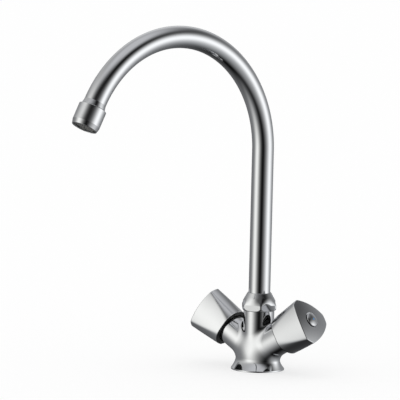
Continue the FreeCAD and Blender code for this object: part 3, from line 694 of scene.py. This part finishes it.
# ------ handles
def side_reach(azimuth, inset, handle):
    """Distance from the axis to a bulged side at an angle from the side's middle. The
    side is a circle whose centre lies beyond the axis, so the law of cosines gives it."""
    back = handle.side_r - handle.side_mid
    radius = handle.side_r - inset
    return np.sqrt(radius**2 - (back * np.sin(azimuth)) ** 2) - back * np.cos(azimuth)


def corner_reach(place, inset, handle):
    """Radius of the flaring cone that the round corners lie on."""
    share = (place - handle.mouth) / (handle.face - handle.mouth)
    return mix(handle.mouth_r, handle.corner_r, share) - inset


def face_place(radius, handle):
    """Place of the domed face along the axis at a radius."""
    ball = (handle.corner_r**2 + handle.crown**2) / (2 * handle.crown)
    return handle.face + handle.crown - ball + np.sqrt(ball**2 - radius**2)


def handle_azimuth(column, place, handle):
    """Azimuth of a column at a place along the axis. Each third of the handle has a
    side between -1 and 1 and its corners beyond, up to 2. The ridge between side and
    corner lies where the circle of the side and the cone have the same radius."""
    third = np.round(column / 4)
    w = column - 4 * third
    back = handle.side_r - handle.side_mid
    cone = corner_reach(place, 0, handle)
    ridge = np.arccos((handle.side_r**2 - cone**2 - back**2) / (2 * cone * back))
    inner, beyond = np.minimum(np.abs(w), 1), np.maximum(np.abs(w) - 1, 0)
    away = np.sign(w) * (ridge * inner + (math.pi / 3 - ridge) * beyond)
    return away, away + (1 / 3 + third * 2 / 3) * math.pi


def handle_wall(column, place, inset, handle):
    """Radius and azimuth of the side wall: the smooth minimum of side and cone."""
    away, azimuth = handle_azimuth(column, place, handle)
    side = side_reach(away, inset, handle)
    return smooth_min(side, corner_reach(place, inset, handle), 1.2 * handle.edge), azimuth


def wall_ring(place, inset, handle):
    """Points round the side wall at a place along the axis, pulled in by an inset."""
    return polar(*handle_wall(handle_columns(), place, inset, handle), place)


def mouth_rings(section, handle):
    """Rings with the outline of the open end, each pulled in by an inset and moved
    along the axis from there."""
    rings = []
    for inset, rise in section:
        wall = handle_wall(handle_columns(), handle.mouth, inset, handle)
        rings.append(polar(*wall, handle.mouth + rise))
    return rings


def handle_columns():
    """Columns round the handle, closer together at the ridges."""
    t = np.linspace(0, 1, 33)[:-1]
    half = 2 * (t - np.sin(4 * math.pi * t) / (4 * math.pi) * 0.85)
    third = np.unique(np.round(np.concatenate([half, 4 - half[::-1]]), 9))
    third = third[third < 4 - 1e-9]
    return np.concatenate([third, third + 4, third + 8])


def handle_patches(handle, place):
    """The hollow handle as one closed loop of rows: up the outer wall, round the rim,
    in over the domed face, down the button's hole, and back along the inside."""
    columns, edge = handle_columns(), handle.edge
    wall_rows, face_rows, inner_rows = 40, 22, 14
    # where wall and dome would meet in a sharp rim
    rim = np.full(columns.shape, handle.face)
    for _ in range(12):
        rim_r, azimuth = handle_wall(columns, rim, 0, handle)
        rim = face_place(rim_r, handle)
    below = wall_ring(rim - 2 * edge, 0, handle)
    inward_r = rim_r - 2 * edge
    inward = polar(inward_r, azimuth, face_place(inward_r, handle))
    bend = corner_arc(below, polar(rim_r, azimuth, rim), inward, edge, 8)
    low, top = handle.mouth + 0.5 * MM, bend[0][:, 2]
    shares = np.linspace(0, 1, wall_rows)[1:-1]
    rows = [wall_ring(mix(low, top, share), 0, handle) for share in shares] + bend
    rest_r = np.linalg.norm(bend[-1][:, :2], axis=-1)
    hole_edge = 0.25 * MM
    for share in np.linspace(0, 1, face_rows)[1:]:
        radius = mix(rest_r, handle.hole_r + 2 * hole_edge, share)
        rows.append(polar(radius, azimuth, face_place(radius, handle)))
    roof, seat_top = handle.face - handle.roof, handle.seat + handle.seat_t
    hole_top = face_place(handle.hole_r, handle)
    inside = [
        (handle.hole_r + 2 * hole_edge, hole_top, 0),
        (handle.hole_r, hole_top, hole_edge),
        (handle.hole_r, seat_top, 0),
        (handle.screw_r, seat_top, 0),
        (handle.screw_r, handle.seat, 0),
        (handle.boss_r, handle.seat, 0),
        (handle.boss_r, roof, 0),
    ]
    rows += list(turned(rounded(inside)[1:], azimuth))
    wall, soft = handle.wall, 0.2 * MM
    rows += [wall_ring(height, wall, handle) for height in np.linspace(roof, low, inner_rows)]
    # the mouth's flat edge, with both its corners slightly rounded
    corner = ((0, 2), (0, 1), (0.5, 0.3), (1, 0))
    section = [(wall - inset * soft, rise * soft) for inset, rise in corner]
    section += [(inset * soft, rise * soft) for inset, rise in reversed(corner)]
    rows += mouth_rings(section, handle)
    return [grid_patch(placed(np.array(rows), place), closed=True)]


def lip_patches(handle, place):
    """The lining's flange, which covers the handle's open edge: rings of the side wall's
    outline, pulled in to the flange's inside, carried round its flat section."""
    section = ((0.3, 0), (0.3, 0.75), (0.45, 0.95), (0.7, 1), (1.4, 1))
    rows = mouth_rings([(inset * MM, -rise * handle.lip_t) for inset, rise in section], handle)
    azimuth = handle_wall(handle_columns(), handle.mouth, 0, handle)[1]
    inner = handle.mouth_r - handle.lip_w
    rows += [polar(inner, azimuth, handle.mouth - rise * handle.lip_t) for rise in (1, 0)]
    return [grid_patch(placed(np.array(rows), place), closed=True)]


def button_patches(handle, place):
    """The button, turned: a neck, an upright edge with a soft shoulder, and a shallow
    dome, an arc of one circle, with a seat for the dot."""
    edge = face_place(handle.hole_r, handle) - handle.button_drop
    top = edge + handle.button_drop + handle.button_rise
    rise = handle.button_dome
    ball = (handle.button_r**2 + rise**2) / (2 * rise)
    radii = np.linspace(handle.button_r - 1.1 * MM, handle.dot_r, 30)
    dome = np.stack([radii, top - ball + np.sqrt(ball**2 - radii**2)], -1)
    neck_r, foot = handle.hole_r - FIT, edge - handle.button_lip
    outline = [
        (0, handle.button_foot, 0),
        (neck_r, handle.button_foot, 0),
        (neck_r, foot, 0),
        (handle.button_r, foot, 0),
        (handle.button_r, top - rise, 0.9 * MM),
        (*dome[0], 0),
    ]
    seat = np.array([[handle.dot_r, top - handle.dot_t], [0, top - handle.dot_t]])
    outline = np.concatenate([rounded(outline)[:-1], dome, seat])
    return [grid_patch(placed(turned(outline, around(128)), place))]


def dot_patches(handle, place):
    """The coloured dot: a little drop of enamel that stands just above the dome."""
    top = face_place(handle.hole_r, handle) + handle.button_rise
    foot, edge_r = top - handle.dot_t, handle.dot_r - FIT
    radii = np.linspace(0, edge_r, 10)
    swell = 0.06 * MM * (1 - (radii / handle.dot_r) ** 2)
    upper = np.stack([radii, top + swell], -1)
    outline = np.concatenate([upper, [[edge_r, foot], [0, foot]]])
    return [grid_patch(placed(turned(outline, around(48)), place))]


# ------ finishes
def add(owner, kind, settings=None, **links):
    """Adds a node with its settings and its input links, and returns it. A link comes
    from a socket, or from a node's first output."""
    node = owner.node_tree.nodes.new(kind)
    for key, value in (settings or {}).items():
        if isinstance(key, str) and hasattr(node, key):
            setattr(node, key, value)
        else:
            node.inputs[key].default_value = value
    for name, source in links.items():
        socket = name.replace("_", " ").strip()
        target = node.inputs[int(socket) if socket.isdigit() else socket]
        owner.node_tree.links.new(getattr(source, "outputs", [source])[0], target)
    return node


def emptied(owner):
    """A material or world with an empty node tree."""
    owner.use_nodes = True
    owner.node_tree.nodes.clear()
    return owner


# each finish: the property with its colour, its metallic value and roughness, the size
# in millimetres and the share of a soft mottle, and the spacing and height in
# millimetres of a fine relief. Fine grains are drawn coarser than they are, to show
FINISHES = {
    # polished casting under chrome plate: a mirror with the softest waves
    "polished_cast_chrome": ("chrome", 1.0, 0.05, (20, 0.03), (12, 0.02)),
    # turned and drawn brass under chrome plate: a clean mirror
    "polished_drawn_chrome": ("chrome", 1.0, 0.04, (30, 0.02), (20, 0.01)),
    # bare turned brass: warm, with fine turning marks
    "turned_brass": ("brass", 1.0, 0.28, (4, 0.12), (0.6, 0.02)),
    # stainless steel wire and sheet: grey and slightly dull
    "drawn_stainless_steel": ("steel", 1.0, 0.3, (3, 0.15), (0.4, 0.01)),
    # moulded nitrile rubber: black with a dull bloom
    "moulded_nitrile_rubber": ("rubber", 0.0, 0.55, (3, 0.25), (0.5, 0.02)),
    # moulded ABS: deep black with a satin skin
    "moulded_black_abs": ("plastic", 0.0, 0.38, (4, 0.2), (0.7, 0.02)),
    # moulded acetal: white and waxy
    "moulded_white_acetal": ("acetal", 0.0, 0.35, (5, 0.06), (1, 0.01)),
    # moulded acetal coloured grey: dull and even
    "moulded_grey_acetal": ("grey_acetal", 0.0, 0.4, (4, 0.1), (1, 0.01)),
    # pressed vulcanised fibre: red-brown with short fibres
    "pressed_vulcanised_fibre": ("fibre", 0.0, 0.7, (1.2, 0.3), (0.4, 0.04)),
    # lapped alumina: ivory white and glossy
    "lapped_alumina": ("ceramic", 0.0, 0.18, (4, 0.05), (0.8, 0.004)),
    # baked enamel in the two dots: a full colour under a clear gloss
    "blue_baked_enamel": ("blue", 0.0, 0.2, (0.8, 0.12), (0.5, 0.006)),
    "red_baked_enamel": ("red", 0.0, 0.2, (0.8, 0.12), (0.5, 0.006)),
}


def make_finish(name, tint, metallic, roughness, mottle, relief):
    """A material whose colour and roughness vary by the mottle, with the relief."""
    material = emptied(bpy.data.materials.new(name))
    place = add(material, "ShaderNodeTexCoord").outputs["Object"]
    (size, share), (spacing, height) = mottle, relief
    noise = {"Scale": 1 / (size * MM), "Detail": 3.0}
    patches = add(material, "ShaderNodeTexNoise", noise, Vector=place)
    limits = {"From Min": 0.3, "From Max": 0.7, "To Min": 1 - share, "To Max": 1.0}
    spread = add(material, "ShaderNodeMapRange", limits, Value=patches)
    base = {"operation": "SCALE", 0: tint}
    base = add(material, "ShaderNodeVectorMath", base, Scale=spread)
    gloss = {"operation": "DIVIDE", 0: roughness}
    gloss = add(material, "ShaderNodeMath", gloss, _1=spread)
    noise = {"Scale": 1 / (spacing * MM), "Detail": 2.0}
    waves = add(material, "ShaderNodeTexNoise", noise, Vector=place)
    bump = {"Strength": 1.0, "Distance": height * MM}
    bump = add(material, "ShaderNodeBump", bump, Height=waves)
    inputs = {"Base_Color": base, "Roughness": gloss, "Normal": bump}
    shader = add(material, "ShaderNodeBsdfPrincipled", {"Metallic": metallic}, **inputs)
    add(material, "ShaderNodeOutputMaterial", Surface=shader)


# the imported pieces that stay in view, by finish, those of the arms without their side
NODE_FINISHES = {
    "moulded_nitrile_rubber": (
        "base_seal",
        "spout_o_rings",
        "aerator_washer",
        "seat_seal",
        "spindle_o_rings",
    ),
    "moulded_white_acetal": ("lower_slip_ring", "upper_slip_ring", "friction_washer"),
    "moulded_grey_acetal": ("aerator_cartridge",),
    "moulded_black_abs": ("handle_insert",),
    "turned_brass": ("spout_tail", "headwork", "spindle"),
    "pressed_vulcanised_fibre": ("head_gasket",),
    "lapped_alumina": ("fixed_disc", "turning_disc"),
    "drawn_stainless_steel": ("spindle_circlip", "handle_screw"),
}


# ------ operators
class FAUCET_OT_finishes(bpy.types.Operator):
    """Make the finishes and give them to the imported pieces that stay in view"""

    bl_idname = "faucet.finishes"
    bl_label = "Finishes"

    def execute(self, context):
        for name, (tint, *values) in FINISHES.items():
            make_finish(name, list(getattr(context.scene.faucet_finish, tint)), *values)
        for name, node in frame["nodes"].items():
            plain = name.removeprefix("cold_").removeprefix("hot_")
            for finish, pieces in NODE_FINISHES.items():
                if plain in pieces:
                    node.data.materials.clear()
                    node.data.materials.append(bpy.data.materials[finish])
        return {"FINISHED"}


class FAUCET_OT_casting(bpy.types.Operator):
    """Make the cast body with its foot, riser and two arms"""

    bl_idname = "faucet.casting"
    bl_label = "Cast Body"

    def execute(self, context):
        patches = casting_patches(context.scene.faucet_casting)
        solid("cast_body", patches, "polished_cast_chrome", "tap_body", ["body"], "cast_chrome")
        return {"FINISHED"}


class FAUCET_OT_spout(bpy.types.Operator):
    """Make the union nut, the gooseneck and its flared end"""

    bl_idname = "faucet.spout"
    bl_label = "Nut and Gooseneck"

    def execute(self, context):
        spout = context.scene.faucet_spout
        shapes = {
            "union_nut": (nut_patches(spout), "tap_body", "spout_nut"),
            "gooseneck": (tube_patches(spout), "spout", "spout_tube"),
            "flared_end": (fitting_patches(spout), "spout", "spout_end_fitting"),
        }
        for name, (patches, body, node) in shapes.items():
            solid(name, patches, "polished_drawn_chrome", body, [node], "chrome")
        return {"FINISHED"}


class FAUCET_OT_outlet(bpy.types.Operator):
    """Make the aerator's housing and its woven screen"""

    bl_idname = "faucet.outlet"
    bl_label = "Aerator"

    def execute(self, context):
        spout = context.scene.faucet_spout
        chrome = ("polished_drawn_chrome", "spout", ["aerator_housing"], "chrome")
        steel = ("drawn_stainless_steel", "spout", ["aerator_screen"], "steel")
        solid("aerator_sleeve", housing_patches(spout), *chrome)
        solid("woven_screen", screen_patches(spout), *steel)
        return {"FINISHED"}


class FAUCET_OT_handles(bpy.types.Operator):
    """Make both handles with their buttons and dots"""

    bl_idname = "faucet.handles"
    bl_label = "Handles"

    def execute(self, context):
        handle = context.scene.faucet_handle
        for side, dot in zip(SIDES, ("blue", "red")):
            place = axis_frame(side, getattr(handle, "turn_" + side))
            shapes = {
                "grip": (handle_patches, "polished_cast_chrome", "handle_shell", "cast_chrome"),
                "lip": (lip_patches, "moulded_black_abs", None, "black_plastic"),
                "button": (button_patches, "polished_drawn_chrome", "index_button", "chrome"),
                "dot": (dot_patches, f"{dot}_baked_enamel", "index_dot", f"{dot}_enamel"),
            }
            for name, (shape, finish, node, slot) in shapes.items():
                nodes = [f"{side}_{node}"] if node else []
                patches = shape(handle, place)
                solid(f"{side}_{name}", patches, finish, f"{side}_handle", nodes, slot)
        return {"FINISHED"}


class FAUCET_OT_studio(bpy.types.Operator):
    """Make the floor, the light and the camera"""

    bl_idname = "faucet.studio"
    bl_label = "Studio"

    def execute(self, context):
        studio = context.scene.faucet_studio
        make_floor(studio)
        make_world(studio)
        make_camera(studio)
        return {"FINISHED"}


# ------ studio
def make_floor(studio):
    """A large pale floor a hair below the foot, of white acrylic lit from below, which
    leaves only a faint shadow."""
    half, level = 60.0, -0.2 * MM
    signs = ((-1, -1), (1, -1), (1, 1), (-1, 1))
    corners = [(x * half, y * half, level) for x, y in signs]
    mesh = bpy.data.meshes.new("floor")
    mesh.from_pydata(corners, [], [(0, 1, 2, 3)])
    material = emptied(bpy.data.materials.new("backlit_white_acrylic"))
    tint = add(material, "ShaderNodeBsdfDiffuse", {"Color": (*studio.floor, 1)})
    glow = add(material, "ShaderNodeEmission", {"Color": (1, 1, 1, 1), "Strength": 1.0})
    both = add(material, "ShaderNodeMixShader", {0: studio.floor_glow}, _1=tint, _2=glow)
    add(material, "ShaderNodeOutputMaterial", Surface=both)
    mesh.materials.append(material)
    floor = bpy.data.objects.new("floor", mesh)
    bpy.context.scene.collection.objects.link(floor)
    floor.visible_glossy = False


# the studio round the faucet, as seen from it. Azimuths go from the camera to the
# right, in degrees: name, azimuth, elevation, half width, half height, strength, colour
STUDIO_LIGHTS = (
    ("left soft box", -62, 2, 28, 38, 1.20, "#FFFFFB"),
    ("right soft box", 80, -2, 31, 26, 1.30, "#FEFFFF"),
    ("fill beside the camera", 40, -25, 22, 45, 0.14, "#FFFFFF"),
    ("left silk", -95, 36, 55, 20, 0.55, "#FFFFFD"),
    ("left rear wall", -125, -12, 45, 40, 0.20, "#FAFCFF"),
    ("right rear wall", 130, -12, 40, 34, 0.28, "#F8FBFF"),
    ("table glow on the left", -60, -42, 45, 24, 0.18, "#FAFCFF"),
    ("table glow on the right", 75, -42, 42, 24, 0.30, "#F9FCFF"),
    ("far wall", 180, 30, 36, 24, 0.68, "#FCFDFF"),
)
# black cards: name, azimuth, elevation, half width, half height, share that they hold back
STUDIO_FLAGS = (
    ("card over the right soft box", 45, 42, 48, 14, 0.88),
    ("card beside the camera", 2, -12, 15, 55, 0.84),
)
# light by elevation alone, eased by 3t^2 - 2t^3: from, to, its value there and there
STUDIO_CEILING = (36, 78, 0.03, 0.68)
STUDIO_TABLE = (-88, -66, 0.15, 1.0)


def soft_patch(world, place, azimuth, elevation, half_width, half_height):
    """A patch of the sky that fades as exp(-q), where q adds the squares of azimuth and
    elevation from its middle, each over its half size. place holds these two angles."""
    middle = (math.radians(azimuth), math.radians(elevation), 0)
    halves = (math.radians(half_width), math.radians(half_height), 1)
    turn = {"operation": "WRAP", 1: [math.pi] * 3, 2: [-math.pi] * 3}
    offset = add(world, "ShaderNodeVectorMath", {"operation": "SUBTRACT", 1: middle}, _0=place)
    near = add(world, "ShaderNodeVectorMath", turn, _0=offset)
    share = add(world, "ShaderNodeVectorMath", {"operation": "DIVIDE", 1: halves}, _0=near)
    square = add(world, "ShaderNodeVectorMath", {"operation": "DOT_PRODUCT"}, _0=share, _1=share)
    minus = {"operation": "MULTIPLY", 1: -1.0}
    minus = add(world, "ShaderNodeMath", minus, _0=square.outputs["Value"])
    return add(world, "ShaderNodeMath", {"operation": "EXPONENT"}, _0=minus)


def make_world(studio):
    """The studio light: soft boxes, silks and black cards round the faucet, which the
    chrome mirrors. All else sees plain white."""
    world = emptied(bpy.data.worlds.new("studio"))
    way = add(world, "ShaderNodeTexCoord").outputs["Generated"]
    x, y, z = add(world, "ShaderNodeSeparateXYZ", Vector=way).outputs
    front = add(world, "ShaderNodeMath", {"operation": "MULTIPLY", 1: -1.0}, _0=y)
    bearing = add(world, "ShaderNodeMath", {"operation": "ARCTAN2"}, _0=x, _1=front)
    from_camera = {"operation": "SUBTRACT", 1: studio.azimuth}
    azimuth = add(world, "ShaderNodeMath", from_camera, _0=bearing)
    elevation = add(world, "ShaderNodeMath", {"operation": "ARCSINE"}, _0=z)
    place = add(world, "ShaderNodeCombineXYZ", _0=azimuth, _1=elevation)
    ramps = []
    for low, high, at_low, at_high in (STUDIO_CEILING, STUDIO_TABLE):
        ramp = {"interpolation_type": "SMOOTHSTEP", "To Min": at_low, "To Max": at_high}
        ramp |= {"From Min": math.radians(low), "From Max": math.radians(high)}
        ramps.append(add(world, "ShaderNodeMapRange", ramp, Value=elevation))
    ceiling, table = ramps
    scale = {"operation": "SCALE"}
    light = {**scale, 0: linear("#FBFCFF")}
    light = add(world, "ShaderNodeVectorMath", light, Scale=ceiling)
    for _, *patch, strength, tint in STUDIO_LIGHTS:
        lamp = {"operation": "MULTIPLY_ADD", 1: [c * strength for c in linear(tint)]}
        glow = soft_patch(world, place, *patch)
        light = add(world, "ShaderNodeVectorMath", lamp, _0=glow, _2=light)
    for _, *patch, held in STUDIO_FLAGS:
        card = {"operation": "MULTIPLY_ADD", 1: -held, 2: 1.0}
        kept = add(world, "ShaderNodeMath", card, _0=soft_patch(world, place, *patch))
        light = add(world, "ShaderNodeVectorMath", scale, _0=light, Scale=kept)
    light = add(world, "ShaderNodeVectorMath", scale, _0=light, Scale=table)
    mirrored = add(world, "ShaderNodeLightPath").outputs["Is Glossy Ray"]
    white = {"data_type": "RGBA", 6: (1, 1, 1, 1)}
    seen = add(world, "ShaderNodeMix", white, _0=mirrored, _7=light).outputs[2]
    background = add(world, "ShaderNodeBackground", {"Strength": 1.0}, Color=seen)
    add(world, "ShaderNodeOutputWorld", Surface=background)
    bpy.context.scene.world = world


def camera_axes(studio):
    """Right, up and back of the camera, and its place. The picture's middle is turned
    to, so that the aim point falls on its named pixel without any lens shift."""
    azimuth, level = studio.azimuth, math.cos(studio.elevation)
    out = (math.sin(azimuth) * level, -math.cos(azimuth) * level, math.sin(studio.elevation))
    back, right = Vector(out), Vector((math.cos(azimuth), math.sin(azimuth), 0))
    up = back.cross(right)
    tilt_right = right * math.cos(studio.roll) + up * math.sin(studio.roll)
    tilt_up = up * math.cos(studio.roll) - right * math.sin(studio.roll)
    centre = PICTURE / 2
    ahead = -back * studio.focal_px
    ahead += tilt_right * (centre - studio.aim_x_px) - tilt_up * (centre - studio.aim_y_px)
    place = Vector((0, 0, studio.aim_z)) + back * studio.distance
    new_back = -ahead.normalized()
    new_right = tilt_up.cross(new_back).normalized()
    return new_right, new_back.cross(new_right), new_back, place


def make_camera(studio):
    """The camera of the photograph's view."""
    right, up, back, place = camera_axes(studio)
    data = bpy.data.cameras.new("camera")
    data.lens = studio.focal_px / PICTURE * data.sensor_width
    camera = bpy.data.objects.new("camera", data)
    turn = Matrix((right, up, back)).transposed().to_4x4()
    camera.matrix_world = Matrix.Translation(place) @ turn
    data.clip_end = 500
    bpy.context.scene.collection.objects.link(camera)
    bpy.context.scene.camera = camera
    bpy.context.scene.view_settings.view_transform = "Standard"


# ------ panel
class FAUCET_PT_panel(bpy.types.Panel):
    """Lists the steps of the faucet"""

    bl_idname = "FAUCET_PT_panel"
    bl_label = "Faucet"
    bl_space_type = "VIEW_3D"
    bl_region_type = "UI"
    bl_category = "Faucet"

    def draw(self, context):
        for operator in OPERATORS:
            self.layout.operator(operator.bl_idname)


GROUPS = {
    "faucet_casting": FaucetCasting,
    "faucet_spout": FaucetSpout,
    "faucet_handle": FaucetHandle,
    "faucet_finish": FaucetFinish,
    "faucet_studio": FaucetStudio,
}
OPERATORS = (
    FAUCET_OT_finishes,
    FAUCET_OT_casting,
    FAUCET_OT_spout,
    FAUCET_OT_outlet,
    FAUCET_OT_handles,
    FAUCET_OT_studio,
)


def register():
    for group in GROUPS.values():
        bpy.utils.register_class(group)
    for operator in OPERATORS:
        bpy.utils.register_class(operator)
    bpy.utils.register_class(FAUCET_PT_panel)
    for name, group in GROUPS.items():
        setattr(bpy.types.Scene, name, PointerProperty(type=group))


def unregister():
    for name in GROUPS:
        delattr(bpy.types.Scene, name)
    bpy.utils.unregister_class(FAUCET_PT_panel)
    for operator in reversed(OPERATORS):
        bpy.utils.unregister_class(operator)
    for group in reversed(list(GROUPS.values())):
        bpy.utils.unregister_class(group)


def main():
    register()
    bpy.ops.faucet.finishes()
    bpy.ops.faucet.casting()
    bpy.ops.faucet.spout()
    bpy.ops.faucet.outlet()
    bpy.ops.faucet.handles()
    bpy.ops.faucet.studio()


if __name__ == "__main__":
    main()
